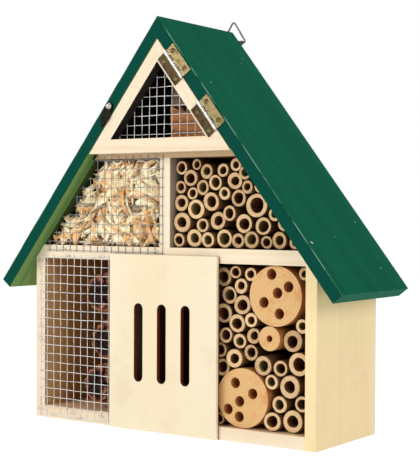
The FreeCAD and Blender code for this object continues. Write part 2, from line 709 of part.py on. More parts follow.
def pine_cone(x, y, z, tilt, facing):
    """Cone lying along Y, base to the front (facing -1) or to the back (+1): tiers of flared scales."""
    profile = [(0.0, 0.0), (cone_radius * 0.35, 0.0)]
    for i in range(cone_tiers):
        low, high = i / cone_tiers, (i + 1) / cone_tiers
        swell = math.sin(math.pi * (0.22 + 0.68 * low)) ** 0.8
        rim = cone_radius * swell
        profile += [(rim, (low + 0.35 / cone_tiers) * cone_length), (rim * 0.62, high * cone_length)]
    profile += [(0.0, cone_length)]
    outline = [Vector(r, facing * (cone_length / 2 - h), 0) for r, h in profile]
    solid = Part.Face(Part.makePolygon(outline + outline[:1])).revolve(Vector(0, 0, 0), Vector(0, 1, 0), 360)
    solid.rotate(Vector(0, 0, 0), Vector(1, 0, 0), tilt)
    solid.translate(Vector(x, y, z))
    return solid


def make_fillings():
    # Two columns of cones lie one behind the other against the left divider, and wander a little from side to side.
    lean = math.radians(max(abs(t) for t in cone_tilts))
    half_depth = (cone_length * math.cos(lean) + cone_radius * math.sin(lean)) / 2
    front = front_y + filling_clearance + half_depth
    behind = front + cone_length + cone_gap
    level = 2 * cone_radius + cone_gap
    spare = left_divider_x + inside_x - 2 * (cone_radius + filling_clearance)
    for i, tilt in enumerate(cone_tilts):
        z = floor_thickness + filling_clearance + cone_radius + i * level
        x = left_divider_x - filling_clearance - cone_radius - min(cone_shifts[i], spare)
        keep(f"pine_cone_{2 * i + 1}", pine_cone(x, front, z, tilt, -1))
        keep(f"pine_cone_{2 * i + 2}", pine_cone(x, behind, z, -tilt, 1))

    # The shavings fill the upper left bay, a little clear of the boards and the mesh.
    c = filling_clearance
    low, high = middle_shelf_top + c, upper_shelf_z - c
    right = upper_divider_left - c
    keep("wood_shavings", prism([(right, low), (right, high), (-roof_x(high) + 2 * c, high),
                                 (-roof_x(low) + 2 * c, low)], front_y + c, inside_back_y - c))

    # Bark stands on the upper shelf in the right half of the gable; an offcut leans between it and the roof.
    y0 = front_y + bark_setback
    room = inner_apex_z - upper_shelf_top
    top = upper_shelf_top + min(bark_height, room * 0.37)
    reach = roof_x(top) - 1.0
    steps = [(bark_left + share * (reach - bark_left), top - drop) for share, drop in bark_steps]
    keep("bark_block", prism([(bark_left, upper_shelf_top), (reach, upper_shelf_top), (reach, top - 7.5),
                              *steps, (bark_left, top)], y0, y0 + bark_length))
    high = top + min(offcut_height, room * 0.28)
    keep("wood_offcut", prism([(bark_left - 1, top), (roof_x(top) - 0.5, top), (roof_x(high) - 0.5, high),
                               (bark_left - 1, high)], y0 + 4, y0 + bark_length - 4))


def export_all():
    os.makedirs("parts", exist_ok=True)
    for name, solids in nodes.items():
        shape = solids[0] if len(solids) == 1 else Part.makeCompound(solids)
        shape.exportStep(f"parts/{name}.step")
    print(len(nodes), "nodes", sum(len(s) for s in nodes.values()), "solids")


make_body()
make_roof()
make_front_panel()
make_door()
make_hinges()
make_latch()
make_hanger()
make_meshes()
make_back_nails()
make_nesting()
make_fillings()
export_all()
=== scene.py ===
"""Insect hotel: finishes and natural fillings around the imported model.

The boards, rails, hinges, logs and fastenings are the model's own solids and get their finishes here. The canes,
cones, shavings, bark and welded mesh are new surfaces that stand for the plain solids of the same places.
"""

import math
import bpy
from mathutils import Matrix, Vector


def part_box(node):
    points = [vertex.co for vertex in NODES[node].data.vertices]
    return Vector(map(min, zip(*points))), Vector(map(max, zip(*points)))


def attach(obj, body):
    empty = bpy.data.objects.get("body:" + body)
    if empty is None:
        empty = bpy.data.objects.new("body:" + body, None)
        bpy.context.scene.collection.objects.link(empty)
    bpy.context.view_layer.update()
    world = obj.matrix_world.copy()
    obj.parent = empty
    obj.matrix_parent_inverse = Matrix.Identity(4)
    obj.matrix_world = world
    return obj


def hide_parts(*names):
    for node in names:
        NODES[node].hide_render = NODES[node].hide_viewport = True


bl_info = {
    "name": "Insect Hotel",
    "version": (1, 0, 0),
    "blender": (4, 5, 0),
    "location": "View3D > Sidebar > Insect Hotel",
    "description": "Dresses a wooden insect hotel with stained wood, canes, cones, shavings and welded mesh",
    "category": "Object",
}

import bmesh
import bpy
import numpy as np
from bpy.props import FloatProperty, FloatVectorProperty, IntProperty, PointerProperty
from mathutils import Matrix, Vector

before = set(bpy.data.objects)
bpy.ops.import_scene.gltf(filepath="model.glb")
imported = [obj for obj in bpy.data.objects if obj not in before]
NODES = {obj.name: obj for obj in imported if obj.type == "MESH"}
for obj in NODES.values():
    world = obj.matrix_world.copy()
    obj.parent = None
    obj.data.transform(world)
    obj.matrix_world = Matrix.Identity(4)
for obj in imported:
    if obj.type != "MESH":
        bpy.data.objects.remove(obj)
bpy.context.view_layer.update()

PINE_BOARDS = ("left_wall", "right_wall", "floor_board", "middle_shelf", "upper_shelf", "upper_divider",
               "left_divider", "right_divider", "door_left_rail", "door_right_rail", "door_base_rail")
FRONT_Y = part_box("middle_shelf")[0].y          # front faces of the walls and shelves
BACK_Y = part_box("back_panel")[0].y             # inner face of the back panel
INNER_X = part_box("right_wall")[0].x + 0.0003   # just past the inner faces of the two walls
ALONG_X = (0, 0, 0)                            # turns that lay the grain along X or upright
UPRIGHT = (0, math.pi / 2, 0)
BAY_SHADE = (0.46, 0.27, 0.10)                 # painted shade: multiplies the colour of wood inside a bay
BURNT_AND_SHADE = (0.12, 0.018, 0.004)                   # scorched slots, and painted shade on the dividers beside the dark bays and along the panel's edges
WIRE_WIDTH = 0.0010                            # room for one square wire of the model's meshes
GOLDEN_ANGLE = math.radians(137.508)           # from each scale of a cone to the next
CONE_LENGTH = 0.0368
MERGE = 2e-6                                   # points nearer than this become one


def node_points(node):
    """Corner points of a model solid as an array."""
    mesh = NODES[node].data
    co = np.empty(len(mesh.vertices) * 3, np.float32)
    mesh.vertices.foreach_get("co", co)
    return co.reshape(-1, 3).astype(float)


def roof_pitch():
    """Angle of the outer face of the right roof board, from its ridge to its eave."""
    points = node_points("right_roof_board")
    ridge, eave = points[points[:, 2].argmax()], points[points[:, 0].argmax()]
    return math.atan2(ridge[2] - eave[2], eave[0] - ridge[0])


PITCH = roof_pitch()
RIDGE_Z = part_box("right_roof_board")[1].z


# ---------------------------------------------------------------- sizes and colours a user may change
def colour(name, description, value):
    return FloatVectorProperty(name=name, description=description, subtype="COLOR", size=3, min=0, max=1,
                               default=value)


def length(name, description, value):
    return FloatProperty(name=name, description=description, default=value, min=0, unit="LENGTH", precision=5)


def degrees(name, description, value):
    return FloatProperty(name=name, description=description + ", degrees", default=value)


class HotelWood(bpy.types.PropertyGroup):
    pine_light: colour("Pine", "Early wood of the planed pine boards", (0.785, 0.675, 0.510))
    pine_dark: colour("Pine grain", "Late wood of the planed pine boards", (0.70, 0.50, 0.28))
    yellow_pine: colour("Yellow pine", "Early wood of the right wall's board", (0.82, 0.65, 0.36))
    # Painted shade: the gable's floor is coloured darker where the door above shades its front.
    shaded_pine: colour("Shelf under the gable", "Browner wood of the gable's floor", (0.58, 0.42, 0.24))
    ply_light: colour("Panel", "Face of the slotted front panel", (0.765, 0.68, 0.500))
    ply_dark: colour("Panel grain", "Grain of the slotted front panel", (0.76, 0.60, 0.36))
    green: colour("Green stain", "Stain on the roof boards", (0.0055, 0.104, 0.058))
    green_edge: colour("Green stain edge", "Thinner stain on the roof's cut edges", (0.002, 0.056, 0.038))
    log_light: colour("Log", "Sawn end of the logs", (0.67, 0.42, 0.185))
    log_dark: colour("Log rings", "Rings on the sawn end of the logs", (0.55, 0.28, 0.09))
    bark: colour("Bark", "Bark in the gable", (0.50, 0.20, 0.065))
    grey_wood: colour("Weathered wood", "Greyed offcut in the gable", (0.20, 0.13, 0.08))


class HotelNature(bpy.types.PropertyGroup):
    cane_skin: colour("Cane skin", "Glossy outside of the canes", (0.34, 0.19, 0.08))
    cane_cut: colour("Cane cut", "Sawn ends of the canes", (0.72, 0.52, 0.31))
    cane_bore: colour("Cane bore", "Inside of the canes", (0.17, 0.065, 0.018))
    cane_oval: FloatProperty(name="Cane oval", description="How far a cane is out of round", default=0.018,
                             min=0, max=0.03)
    shaving_count: IntProperty(name="Shavings", description="Number of curled shavings", default=720,
                               min=50, max=1500)
    shaving_pale: colour("Shavings", "Pale shavings", (1.0, 0.91, 0.65))
    shaving_tan: colour("Shavings, tan", "Darker shavings", (0.92, 0.52, 0.19))
    scale_count: IntProperty(name="Cone scales", description="Scales on each pine cone", default=84,
                             min=30, max=160)
    scale_dark: colour("Cone", "Inner part of the scales", (0.022, 0.007, 0.005))
    scale_tip: colour("Cone tips", "Outer edge of the scales", (0.46, 0.16, 0.07))


class HotelMetal(bpy.types.PropertyGroup):
    wire_radius: length("Mesh wire radius", "Radius of the round wires of the welded mesh", 0.00024)
    wire_wander: length("Mesh wander", "How far a wire strays from a straight line", 0.00014)
    zinc: colour("Zinc", "Galvanised wire", (0.78, 0.78, 0.76))
    brass: colour("Brass", "Bright hinge leaves", (0.46, 0.36, 0.17))
    old_brass: colour("Dull brass", "Dulled hinge leaves", (0.12, 0.08, 0.04))
    steel: colour("Steel", "Ring and strap", (0.20, 0.19, 0.18))


class HotelStage(bpy.types.PropertyGroup):
    focal: FloatProperty(name="Lens", description="Focal length on a 36 mm sensor", default=95.34, min=10,
                         unit="CAMERA")
    turn: degrees("Turn", "Camera's turn to the right of the front", 34.87)
    rise: degrees("Rise", "Camera's height angle", 1.18)
    roll: degrees("Roll", "Camera's roll", 0.27)
    distance: length("Distance", "Camera to the point it looks at", 0.89706)
    floor: colour("Floor", "Plain pale floor", (0.35, 0.35, 0.35))
    ambient: FloatProperty(name="Ambient", description="Strength of the even light from all round", default=0.33,
                           min=0, max=2)


def looks(name):
    return getattr(bpy.context.scene, "hotel_" + name)


# ---------------------------------------------------------------- meshes worked out as arrays
def as_mesh(grids):
    """Points and quads of grids of rings, given as (grid, row, column, axis). Each row closes on itself."""
    count, rows, cols = grids.shape[:3]
    r, c = np.arange(rows - 1)[:, None] * cols, np.arange(cols)[None]
    nxt = (c + 1) % cols
    quads = np.stack([r + c, r + nxt, r + cols + nxt, r + cols + c], -1).reshape(-1, 4)
    starts = np.arange(count)[:, None, None] * rows * cols
    return grids.reshape(-1, 3), (quads + starts).reshape(-1, 4)


def joined(pieces):
    """One mesh from several meshes of (points, faces)."""
    starts = np.cumsum([0] + [len(points) for points, _ in pieces])
    return (np.concatenate([points for points, _ in pieces]),
            np.concatenate([faces + start for (_, faces), start in zip(pieces, starts)]))


def closed_ends(rings):
    """Grids of rings, (grid, row, column, axis), with a row added at each end that is drawn to one point."""
    first, last = (rings[:, k][:, None].mean(2, keepdims=True).repeat(rings.shape[2], 2) for k in (0, -1))
    return np.concatenate([first, rings, last], 1)


def new_object(name, data):
    obj = bpy.data.objects.new(name, data)
    bpy.context.scene.collection.objects.link(obj)
    return obj


def make_piece(name, points, faces, material, body, stands_for, values=None):
    """Mesh object from arrays. Doubled points are merged, which closes poles, and normals face outwards."""
    mesh = bpy.data.meshes.new(name)
    points = np.ascontiguousarray(points, dtype=np.float32).reshape(-1, 3)
    faces = np.ascontiguousarray(faces, dtype=np.int32)
    mesh.vertices.add(len(points))
    mesh.vertices.foreach_set("co", points.ravel())
    mesh.loops.add(faces.size)
    mesh.loops.foreach_set("vertex_index", faces.ravel())
    mesh.polygons.add(len(faces))
    mesh.polygons.foreach_set("loop_start", np.arange(len(faces), dtype=np.int32) * faces.shape[1])
    mesh.update(calc_edges=True)
    for label, value in (values or {}).items():
        layer = mesh.attributes.new(label, "FLOAT", "POINT")
        layer.data.foreach_set("value", np.ascontiguousarray(value, dtype=np.float32).ravel())
    work = bmesh.new()
    work.from_mesh(mesh)
    bmesh.ops.remove_doubles(work, verts=work.verts, dist=MERGE)
    bmesh.ops.recalc_face_normals(work, faces=work.faces)
    work.to_mesh(mesh)
    work.free()
    mesh.polygons.foreach_set("use_smooth", np.ones(len(mesh.polygons), dtype=bool))
    mesh.materials.append(material)
    obj = new_object(name, mesh)
    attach(obj, body)
    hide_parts(*stands_for)


def ripple(points, size, rng, waves=7):
    """Smooth value between about -1 and 1: the mean of plane waves of one wavelength in random directions."""
    directions = rng.normal(size=(waves, 3))
    directions /= np.linalg.norm(directions, axis=1, keepdims=True)
    phase = rng.uniform(0, 2 * np.pi, waves)
    return np.sin(points @ directions.T * (2 * np.pi / size) + phase).sum(-1) / math.sqrt(waves)


def random_turns(rng, count):
    """Random rotation matrices, from unit quaternions."""
    q = rng.normal(size=(count, 4))
    w, x, y, z = (q / np.linalg.norm(q, axis=1, keepdims=True)).T
    return np.stack([
        np.stack([1 - 2 * (y * y + z * z), 2 * (x * y - z * w), 2 * (x * z + y * w)], -1),
        np.stack([2 * (x * y + z * w), 1 - 2 * (x * x + z * z), 2 * (y * z - x * w)], -1),
        np.stack([2 * (x * z - y * w), 2 * (y * z + x * w), 1 - 2 * (x * x + y * y)], -1)], 1)


# ---------------------------------------------------------------- shader building
def dim(value, factor):
    return tuple(v * factor for v in value)


class Graph:
    """Short calls that add nodes to a shader tree."""

    def __init__(self, tree):
        self.tree = tree

    def put(self, value, socket):
        """Link a socket, and set anything else as the input's own value. Colours get their alpha here."""
        if isinstance(value, bpy.types.NodeSocket):
            self.tree.links.new(value, socket)
        else:
            socket.default_value = (*value, 1.0) if socket.type == "RGBA" else value

    def add(self, kind, inputs=None, **settings):
        """Add a node with its settings and inputs, and give its outputs."""
        node = self.tree.nodes.new("ShaderNode" + kind)
        for key, value in settings.items():
            setattr(node, key, value)
        for key, value in (inputs or {}).items():
            self.put(value, node.inputs[key])
        return node.outputs

    def math(self, operation, a, b=0.0, clamp=False):
        return self.add("Math", {0: a, 1: b}, operation=operation, use_clamp=clamp)[0]

    def times(self, first, *others):
        for other in others:
            first = self.math("MULTIPLY", first, other)
        return first

    def plus(self, a, b, clamp=False):
        return self.math("ADD", a, b, clamp)

    def below(self, a, b):
        return self.math("LESS_THAN", a, b)

    def above(self, a, b):
        return self.math("GREATER_THAN", a, b)

    def size(self, a):
        return self.math("ABSOLUTE", a)

    def vector(self, operation, a, b, out=0):
        return self.add("VectorMath", {0: a, 1: b}, operation=operation)[out]

    def stretch(self, a, factors):
        return self.vector("MULTIPLY", a, factors)

    def dot(self, a, b):
        return self.vector("DOT_PRODUCT", a, b, "Value")

    def xyz(self, a):
        return self.add("SeparateXYZ", {"Vector": a})

    def facing(self):
        """Parts of the surface's normal."""
        return self.xyz(self.add("NewGeometry")["Normal"])

    def moved(self, a, origin=(0, 0, 0), turn=(0, 0, 0)):
        return self.add("Mapping", {"Vector": a, "Location": dim(origin, -1), "Rotation": turn})[0]

    def mix(self, factor, a, b, mode="MIX"):
        return self.add("Mix", {0: factor, 6: a, 7: b}, data_type="RGBA", blend_type=mode)[2]

    def ramp(self, value, low, high):
        return self.add("MapRange", {"Value": value, "From Min": low, "From Max": high},
                        interpolation_type="SMOOTHSTEP")["Result"]

    def noise(self, at, scale, detail=2.0, rough=0.5, out="Fac"):
        return self.add("TexNoise", {"Vector": at, "Scale": scale, "Detail": detail, "Roughness": rough})[out]

    def sway(self, at, scale, detail, amount):
        """The place moved by a smooth noise, up to half the amount each way."""
        pull = self.vector("SUBTRACT", self.noise(at, scale, detail, 0.5, "Color"), (0.5, 0.5, 0.5))
        return self.vector("ADD", at, self.stretch(pull, (amount, amount, amount)))

    def rings(self, at, scale, axis, distortion, detail):
        return self.add("TexWave", {"Vector": at, "Scale": scale, "Distortion": distortion, "Detail": detail},
                        wave_type="RINGS", rings_direction=axis)["Fac"]

    def attribute(self, name):
        return self.add("Attribute", attribute_name=name)["Fac"]


class Finish(Graph):
    """A new material. Its nodes find the object's own coordinates in at."""

    def __init__(self, name, roughness=0.6, metallic=0.0, specular=0.5):
        self.material = bpy.data.materials.new(name)
        self.material.use_nodes = True
        super().__init__(self.material.node_tree)
        self.shader = self.tree.nodes["Principled BSDF"].inputs
        self.at = self.add("TexCoord")["Object"]
        for label, value in (("Roughness", roughness), ("Metallic", metallic), ("Specular IOR Level", specular)):
            self.put(value, self.shader[label])

    def done(self, base, height, strength, distance, rough=None):
        """Feed the shader its colour, its bumps and, where it varies, its roughness."""
        normal = self.add("Bump", {"Height": height, "Strength": strength, "Distance": distance})["Normal"]
        self.put(base, self.shader["Base Color"])
        self.put(normal, self.shader["Normal"])
        if rough is not None:
            self.put(rough, self.shader["Roughness"])
        return self.material


def node_group(name, inputs, outputs):
    """Turn a function into a shader node group, built at its first use. Sockets are dicts of kinds."""
    def wrap(build):
        def use(g, **given):
            tree = bpy.data.node_groups.get(name)
            if tree is None:
                tree = bpy.data.node_groups.new(name, "ShaderNodeTree")
                for in_out, sockets in (("INPUT", inputs), ("OUTPUT", outputs)):
                    for label, kind in sockets.items():
                        tree.interface.new_socket(label, in_out=in_out, socket_type="NodeSocket" + kind)
                source = tree.nodes.new("NodeGroupInput")
                sink = tree.nodes.new("NodeGroupOutput")
                for label, socket in build(Graph(tree), source.outputs).items():
                    tree.links.new(socket, sink.inputs[label])
            return g.add("Group", given, node_tree=tree)
        return use
    return wrap


@node_group("wood grain", dict(Vector="Vector", Light="Color", Dark="Color", Rings="Float", Amount="Float"),
            dict(Color="Color", Height="Float"))
def grain(g, given):
    """Sawn wood with its grain along X: rings about an axis, broken by long streaks."""
    stretched = g.stretch(given["Vector"], (0.10, 1.0, 1.0))
    late = g.math("POWER", g.rings(g.sway(stretched, 26.0, 2.0, 0.016), given["Rings"], "X", 0.6, 1.0), 3.0)
    streak = g.noise(g.stretch(given["Vector"], (0.03, 1.0, 1.0)), 900.0, 3.0, 0.6)
    broad = g.noise(stretched, 34.0)
    depth = g.plus(g.times(late, given["Amount"]), g.times(g.ramp(streak, 0.45, 0.85), 0.22))
    depth = g.plus(depth, g.times(g.ramp(broad, 0.42, 0.75), 0.28), clamp=True)
    return {"Color": g.mix(depth, given["Light"], given["Dark"]),
            "Height": g.plus(g.times(streak, 0.7), g.times(late, 0.3))}


@node_group("scuffs", dict(Vector="Vector"), dict(Lines="Float", Cloud="Float"))
def scuffs(g, given):
    """Fine scratches and small dents in metal or paint: two crossed, stretched noises."""
    one = g.noise(g.stretch(given["Vector"], (1.0, 0.1, 0.15)), 2200.0, 2.0, 0.6)
    two = g.noise(g.stretch(given["Vector"], (0.12, 0.3, 1.0)), 1700.0, 2.0, 0.6)
    return {"Lines": g.math("MAXIMUM", g.ramp(one, 0.56, 0.72), g.ramp(two, 0.58, 0.74)),
            "Cloud": g.noise(given["Vector"], 190.0)}


@node_group("bay depth", dict(Vector="Vector", Half="Float"), dict(Mask="Float"))
def bay(g, given):
    """How far inside a bay a point is: nothing on the outer faces, rising with depth behind the front."""
    # This mask sets where and how strongly painted shade darkens the faces inside the bays.
    at = g.xyz(given["Vector"])
    depth = g.plus(g.times(g.above(at["Y"], FRONT_Y + 0.0004), 0.75),
                   g.times(g.ramp(at["Y"], FRONT_Y + 0.0005, FRONT_Y + 0.030), 0.25))
    return {"Mask": g.times(g.below(g.size(at["X"]), given["Half"]), g.below(at["Y"], BACK_Y + 0.0003),
                            g.above(at["Z"], 0.0005), depth)}


def wood(name, light, dark, turn=ALONG_X, pith=(0, 0.03, -0.05), rings=80.0, amount=0.5, roughness=0.62,
         patches=0.12, relief=0.0002, inside=0.0, inner=BAY_SHADE, stain=None):
    """Plain wood: grain along X until turned, rings about a line through pith, soiled in patches.

    inside is how strongly painted shade darkens the faces within a bay, and inner is the colour of that
    painted shade. stain is a function that changes the colour further.
    """
    g = Finish(name, roughness, specular=0.35)
    grained = grain(g, Vector=g.moved(g.moved(g.at, pith), turn=turn), Light=light, Dark=dark, Rings=rings,
                    Amount=amount)
    soiled = g.times(g.ramp(g.noise(g.at, 38.0, 4.0, 0.6), 0.50, 0.78), patches)
    base = g.mix(soiled, grained["Color"], tuple(v * f for v, f in zip(dark, (0.62, 0.55, 0.45))))
    if inside:
        # Painted shade: faces inside a bay are multiplied towards the inner colour, more strongly further in.
        within = g.times(bay(g, Vector=g.at, Half=INNER_X)["Mask"], inside)
        base = g.mix(within, base, g.mix(1.0, base, inner, "MULTIPLY"))
    if stain:
        base = stain(g, base)
    return g.done(base, grained["Height"], 0.35, relief)


def clothe(node, material):
    """Give a model solid its finish; its mesh is left alone."""
    materials = NODES[node].data.materials
    materials.clear()
    materials.append(material)


# ---------------------------------------------------------------- boards and roof
def paint_rail_shade(g, base):
    """Painted shade, nearly black, on the faces of the door rails that look towards the middle of the door's
    opening.
    """
    low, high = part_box("gable_mesh")
    given = g.add("TexCoord")
    inwards = g.vector("SUBTRACT", tuple((low + high) / 2), given["Object"])
    towards = g.dot(inwards, g.stretch(given["Normal"], (1, 0, 1)))
    return g.mix(g.above(towards, 0.003), base, (0.010, 0.007, 0.004))


def burn_slots_and_shade_line(g, base):
    """Darken the sawn walls of the panel's slots, and paint a thin line of shade where the panel's edges meet the
    house.
    """
    low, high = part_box("front_panel")
    middle = (low + high) / 2
    at = g.xyz(g.at)
    edge = g.below(g.size(g.facing()["Y"]), 0.5)
    across = g.below(g.size(g.math("SUBTRACT", at["X"], middle.x)), 0.035)
    upward = g.below(g.size(g.math("SUBTRACT", at["Z"], middle.z)), 0.040)
    # Painted shade: the back of the panel's edge faces, where they meet the house.
    contact_shade = g.times(edge, g.above(at["Y"], high.y - 0.0011))
    return g.mix(g.math("MAXIMUM", g.times(edge, across, upward), contact_shade), base, BURNT_AND_SHADE)


class HOTEL_OT_boards(bpy.types.Operator):
    """Finish the pine boards, the slotted panel and the plywood back"""
    bl_idname = "hotel.boards"
    bl_label = "Boards"

    def execute(self, context):
        w = looks("wood")
        turns = {"middle_shelf": ALONG_X, "upper_shelf": ALONG_X, "floor_board": ALONG_X, "door_base_rail": ALONG_X,
                 "door_left_rail": (0, PITCH, 0), "door_right_rail": (0, -PITCH, 0)}
        # Colours of the painted shade inside the bays, for the boards that have their own; the rest take the default
        # of wood().
        within = {"left_divider": BURNT_AND_SHADE, "right_divider": BURNT_AND_SHADE, "upper_divider": (0.05, 0.018, 0.007),
                  "floor_board": (0.95, 0.52, 0.16), "left_wall": (0.60, 0.27, 0.01)}
        # The right wall is a yellower board; the upper shelf takes a darker colour as painted shade under the door.
        pale = {"right_wall": w.yellow_pine, "upper_shelf": w.shaded_pine}
        rng = np.random.default_rng(4)
        for node in PINE_BOARDS:
            pith = tuple(rng.uniform(-1, 1, 3) * (0.05, 0.05, 0.04) + np.array((0, 0.09, 0)))
            shade = rng.uniform(0.97, 1.02)
            light = tuple(min(1.0, v) for v in dim(pale.get(node, w.pine_light), shade))
            rings = float(rng.uniform(55, 85))
            amount = float(rng.uniform(0.20, 0.36)) * (0.45 if node == "right_wall" else 1)
            clothe(node, wood("pine " + node.replace("_", " "), light, w.pine_dark, turns.get(node, UPRIGHT), pith,
                              rings, amount, inside=0.55 if node == "floor_board" else 0.9,
                              inner=within.get(node, BAY_SHADE),
                              stain=paint_rail_shade if node.startswith("door_") else None))
        clothe("front_panel", wood("panel wood", w.ply_light, w.ply_dark, UPRIGHT, (0.02, 0.30, 0), 26.0, 0.22,
                                   patches=0.16, stain=burn_slots_and_shade_line))
        # The back panel takes a dark red-brown painted shade wherever it shows inside the bays.
        clothe("back_panel", wood("plywood", w.ply_light, w.pine_dark, UPRIGHT, (0.05, 0.5, 0), 18.0, 0.5,
                                  patches=0.3, inside=1.0, inner=(0.14, 0.034, 0.006)))
        return {"FINISHED"}


def stained(name, side):
    """Green stain through which a little grain shows, thinner on the cut edges, with a few pale chips."""
    w = looks("wood")
    g = Finish(name, 0.6, specular=0.02)
    turned = g.moved(g.at, turn=(0, -side * PITCH, 0))
    grained = grain(g, Vector=turned, Light=w.green, Dark=dim(w.green, 0.72), Rings=60.0, Amount=0.35)
    facing = g.facing()
    front = g.ramp(g.size(facing["Y"]), 0.6, 0.9)
    base = g.mix(front, grained["Color"], w.green_edge)
    # A hair of lighter green where the front edge meets the outer face: partly rubbed-off stain, partly a painted
    # highlight along that edge.
    height = g.dot(g.at, (side * math.sin(PITCH), 0, math.cos(PITCH)))
    top = RIDGE_Z * math.cos(PITCH)
    patchy = g.ramp(g.noise(g.at, 70.0), 0.38, 0.60)
    wear_and_highlight = g.times(g.ramp(height, top - 0.0006, top - 0.0003), front, patchy)
    base = g.mix(wear_and_highlight, base, (0.20, 0.34, 0.26))
    # The underside is thinly stained, so the wood shines through.
    under = g.ramp(g.times(facing["X"], -side), 0.3, 0.5)
    thin = grain(g, Vector=turned, Light=(0.16, 0.25, 0.075), Dark=(0.05, 0.14, 0.045), Rings=60.0, Amount=0.6)
    base = g.mix(under, base, thin["Color"])
    # Painted shade: the underside is darkened nearly to black inside the bays and in the gable behind the door.
    at = g.xyz(g.at)
    gable = g.times(g.above(at["Z"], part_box("upper_shelf")[0].z),
                    g.above(at["Y"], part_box("door_base_rail")[1].y - 0.0005))
    within = g.math("MAXIMUM", bay(g, Vector=g.at, Half=0.12)["Mask"], gable)
    base = g.mix(g.times(within, under), base, (0.012, 0.009, 0.005))
    chips = g.ramp(g.noise(g.at, 210.0, 1.0, 0.3), 0.80, 0.812)
    base = g.mix(g.times(chips, 0.8), base, (0.55, 0.62, 0.45))
    rough = g.plus(g.times(scuffs(g, Vector=g.at)["Cloud"], 0.16), 0.50)
    return g.done(base, grained["Height"], 0.35, 0.00025, rough)


class HOTEL_OT_roof(bpy.types.Operator):
    """Stain the two roof boards green"""
    bl_idname = "hotel.roof"
    bl_label = "Roof"

    def execute(self, context):
        for name, side in (("left", -1), ("right", 1)):
            clothe(name + "_roof_board", stained("green stain " + name, side))
        return {"FINISHED"}


# ---------------------------------------------------------------- hardware
def metal(name, base, roughness, dirt=(0.05, 0.04, 0.03), dirt_amount=0.35, knuckle=None, metallic=1.0):
    """Brushed metal with clouds of dirt. knuckle is a colour for the strip that lies along the hinges' pins."""
    g = Finish(name, roughness, metallic)
    scuffed = scuffs(g, Vector=g.at)
    base = g.mix(g.times(g.ramp(scuffed["Cloud"], 0.46, 0.70), dirt_amount), base, dirt)
    if knuckle:
        across = Vector((math.sin(PITCH), 0, math.cos(PITCH)))
        low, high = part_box("upper_hinge_pin")
        away = g.size(g.math("SUBTRACT", g.dot(g.at, tuple(across)), (low + high).dot(across) / 2))
        base = g.mix(g.below(away, 0.0017), base, knuckle)
    rough = g.plus(g.times(scuffed["Cloud"], 0.22), roughness - 0.1)
    rough = g.plus(rough, g.times(scuffed["Lines"], 0.12), clamp=True)
    return g.done(base, scuffed["Lines"], 0.25, 0.00004, rough)


class HOTEL_OT_hardware(bpy.types.Operator):
    """Finish the hinges, the latch, the hanger, the screws, the staples and the nails"""
    bl_idname = "hotel.hardware"
    bl_label = "Hardware"

    def execute(self, context):
        m = looks("metal")
        for nodes, finish in (
                (("upper_hinge_roof_leaf", "lower_hinge_roof_leaf", "upper_hinge_pin", "lower_hinge_pin"),
                 ("bright brass", m.brass, 0.28, (0.13, 0.085, 0.03), 0.7, (0.66, 0.62, 0.54))),
                (("upper_hinge_door_leaf", "lower_hinge_door_leaf"),
                 ("dull brass", m.old_brass, 0.32, (0.03, 0.02, 0.012), 0.7, (0.50, 0.46, 0.38))),
                # Painted shade: the screws' brass is dimmed to 0.55 so that they read dark in their countersinks.
                (("roof_leaf_screws", "door_leaf_screws"),
                 ("brass screws", dim(m.brass, 0.55), 0.28, (0.10, 0.06, 0.03), 0.5)),
                (("latch", "latch_washer"),
                 ("latch steel", (0.032, 0.026, 0.022), 0.32, (0.012, 0.010, 0.008), 0.6)),
                (("latch_screw",), ("latch screw steel", (0.50, 0.46, 0.42), 0.25, (0.10, 0.07, 0.05), 0.5)),
                (("hanger_ring", "hanger_strap", "hanger_screws", "back_panel_nails"),
                 ("ring steel", m.steel, 0.32)),
                (("gable_mesh_staples", "mesh_staples"), ("staple wire", m.zinc, 0.38))):
            material = metal(*finish)
            for node in nodes:
                clothe(node, material)
        return {"FINISHED"}


# ---------------------------------------------------------------- welded mesh
def mesh_wires(node):
    """Centre lines of the welded wires, as (place, low, high) arrays for the upright and the cross wires."""
    low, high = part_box(node)
    points = node_points(node)
    wood_side, open_side = (low.y, high.y) if node == "gable_mesh" else (high.y, low.y)

    def gather(depth, place, along):
        """Rows of (place, low, high), one for each group of edges within a wire's width."""
        here = points[np.abs(points[:, 1] - depth) < 2e-5]
        edges = np.unique(np.round(here[:, place], 5))
        starts = edges[np.concatenate(([True], np.diff(edges) > 1.2 * WIRE_WIDTH))]
        rows = []
        for start in starts:
            ends = here[(here[:, place] > start - 1e-4) & (here[:, place] < start + WIRE_WIDTH)]
            rows.append(((ends[:, place].min() + ends[:, place].max()) / 2, ends[:, along].min(),
                         ends[:, along].max()))
        return np.array(rows)
    return gather(wood_side, 0, 2), gather(open_side, 2, 0), wood_side, open_side


def wire_tubes(rows, upright, depth, m, rng, sides=8, step=0.0034):
    """Round wires along straight rows.

    A wire strays sideways and in depth by slow sines, and its radius drops to nothing at the two ends.
    """
    wires, radius, wander = [], m.wire_radius, m.wire_wander
    turn = np.arange(sides) * 2 * np.pi / sides
    for place, start, end in rows:
        count = max(4, int((end - start) / step))
        run = np.linspace(start + radius * 0.4, end - radius * 0.4, count)
        run = np.concatenate([[start, start], run, [end, end]])
        size = np.concatenate([[0, 0.8], np.ones(count), [0.8, 0]]) * radius
        side_way = wander * (np.sin(run * 95 + rng.uniform(0, 6)) + 0.6 * np.sin(run * 260 + rng.uniform(0, 6)))
        deep = depth + wander * 0.6 * np.sin(run * 150 + rng.uniform(0, 6))
        a = place + side_way[:, None] + size[:, None] * np.cos(turn)
        b = deep[:, None] + size[:, None] * np.sin(turn)
        c = np.repeat(run[:, None], sides, 1)
        wires.append(as_mesh(np.stack([a, b, c] if upright else [c, b, a], -1)[None]))
    return wires


